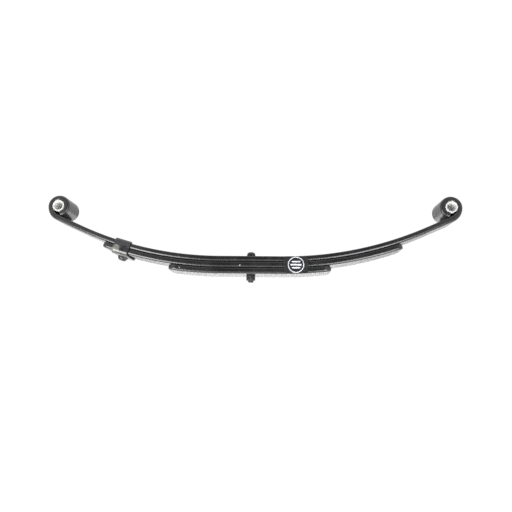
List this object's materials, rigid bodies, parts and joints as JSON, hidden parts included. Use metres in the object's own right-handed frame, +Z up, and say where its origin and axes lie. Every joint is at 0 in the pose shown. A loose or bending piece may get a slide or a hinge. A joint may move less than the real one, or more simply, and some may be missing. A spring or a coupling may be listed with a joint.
{
  "type": "leaf spring",
  "caption": "Three-leaf double-eye trailer leaf spring, black painted, with rolled eyes and plastic bushes, a centre bolt and nut, and one rebound clip.",
  "frame": {"origin": "where the centre bolt's axis meets the underside of the third leaf, the face that rests on the axle seat", "axes": "+X along the spring away from the rebound clip, +Y across the leaves away from the labelled edge, +Z up from the seat towards the eyes"},
  "size_m": [0.6772, 0.0508, 0.1408],
  "materials": {
    "main_leaf_seat": "semi-gloss black paint",
    "main_leaf_left": "semi-gloss black paint",
    "main_leaf_right": "semi-gloss black paint",
    "second_leaf_seat": "semi-gloss black paint",
    "second_leaf_left": "semi-gloss black paint",
    "second_leaf_right": "semi-gloss black paint",
    "third_leaf_seat": "semi-gloss black paint",
    "third_leaf_left": "semi-gloss black paint",
    "third_leaf_right": "semi-gloss black paint",
    "left_bush": "white nylon",
    "right_bush": "white nylon",
    "center_bolt": "black oxide with overspray",
    "center_bolt_nut": "black oxide with overspray",
    "rebound_clip": "dark grey to black paint, worn at the bends",
    "clip_rivet": "black paint over steel",
    "label": "printed label, dark ground with a plain pale mark"
  },
  "bodies": {
    "seat": {"main_leaf_seat": "main_leaf_seat", "second_leaf_seat": "second_leaf_seat", "third_leaf_seat": "third_leaf_seat", "center_bolt": "center_bolt", "center_bolt_nut": "center_bolt_nut", "label": "label"},
    "left_arm": {"main_leaf_left": "main_leaf_left", "second_leaf_left": "second_leaf_left", "third_leaf_left": "third_leaf_left", "left_bush": "left_bush", "rebound_clip": "rebound_clip", "clip_rivet": "clip_rivet"},
    "right_arm": {"main_leaf_right": "main_leaf_right", "second_leaf_right": "second_leaf_right", "third_leaf_right": "third_leaf_right", "right_bush": "right_bush"}
  },
  "joints": [
    {"name": "left_flex", "type": "hinge", "parent": "seat", "child": "left_arm", "pos_m": [-0.08, 0, 0.0151], "axis": [0, -1, 0], "range_deg": [-2, 14], "stiffness_Nm_per_rad": 8600},
    {"name": "right_flex", "type": "hinge", "parent": "seat", "child": "right_arm", "pos_m": [0.08, 0, 0.0151], "axis": [0, 1, 0], "range_deg": [-2, 14], "stiffness_Nm_per_rad": 8600}
  ]
}
